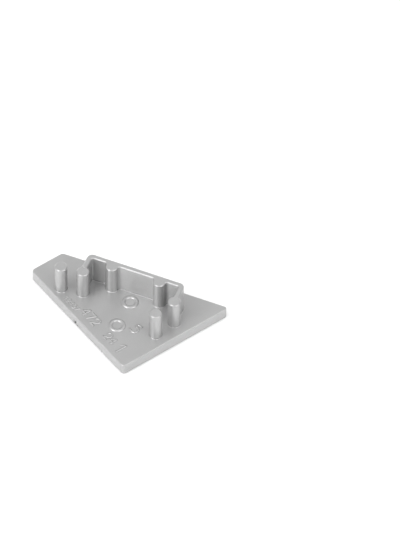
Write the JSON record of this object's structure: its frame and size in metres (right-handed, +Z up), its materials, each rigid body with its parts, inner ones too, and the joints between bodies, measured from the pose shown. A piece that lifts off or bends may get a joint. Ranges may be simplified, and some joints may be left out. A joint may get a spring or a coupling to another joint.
{
  "type": "profile end cap",
  "caption": "Moulded plastic end cap for a wedge-shaped profile: a right-angled trapezoid plate with a shallow U-shaped locating wall and round push-in pins.",
  "frame": {"origin": "on the outer face, below the locating wall's outer side and midway between its pins", "axes": "+X runs along the sloping edge from the narrow end to the wide end, +Y points out over the sloping edge, +Z points up from the outer face to the pin tips"},
  "size_m": [0.0468, 0.0263, 0.0111],
  "materials": {
    "silver_plastic": "silver-grey moulded plastic, smooth on the inner side and with a fine eroded grain on the outer face"
  },
  "bodies": {
    "root": {"end_cap": "silver_plastic"}
  },
  "joints": []
}
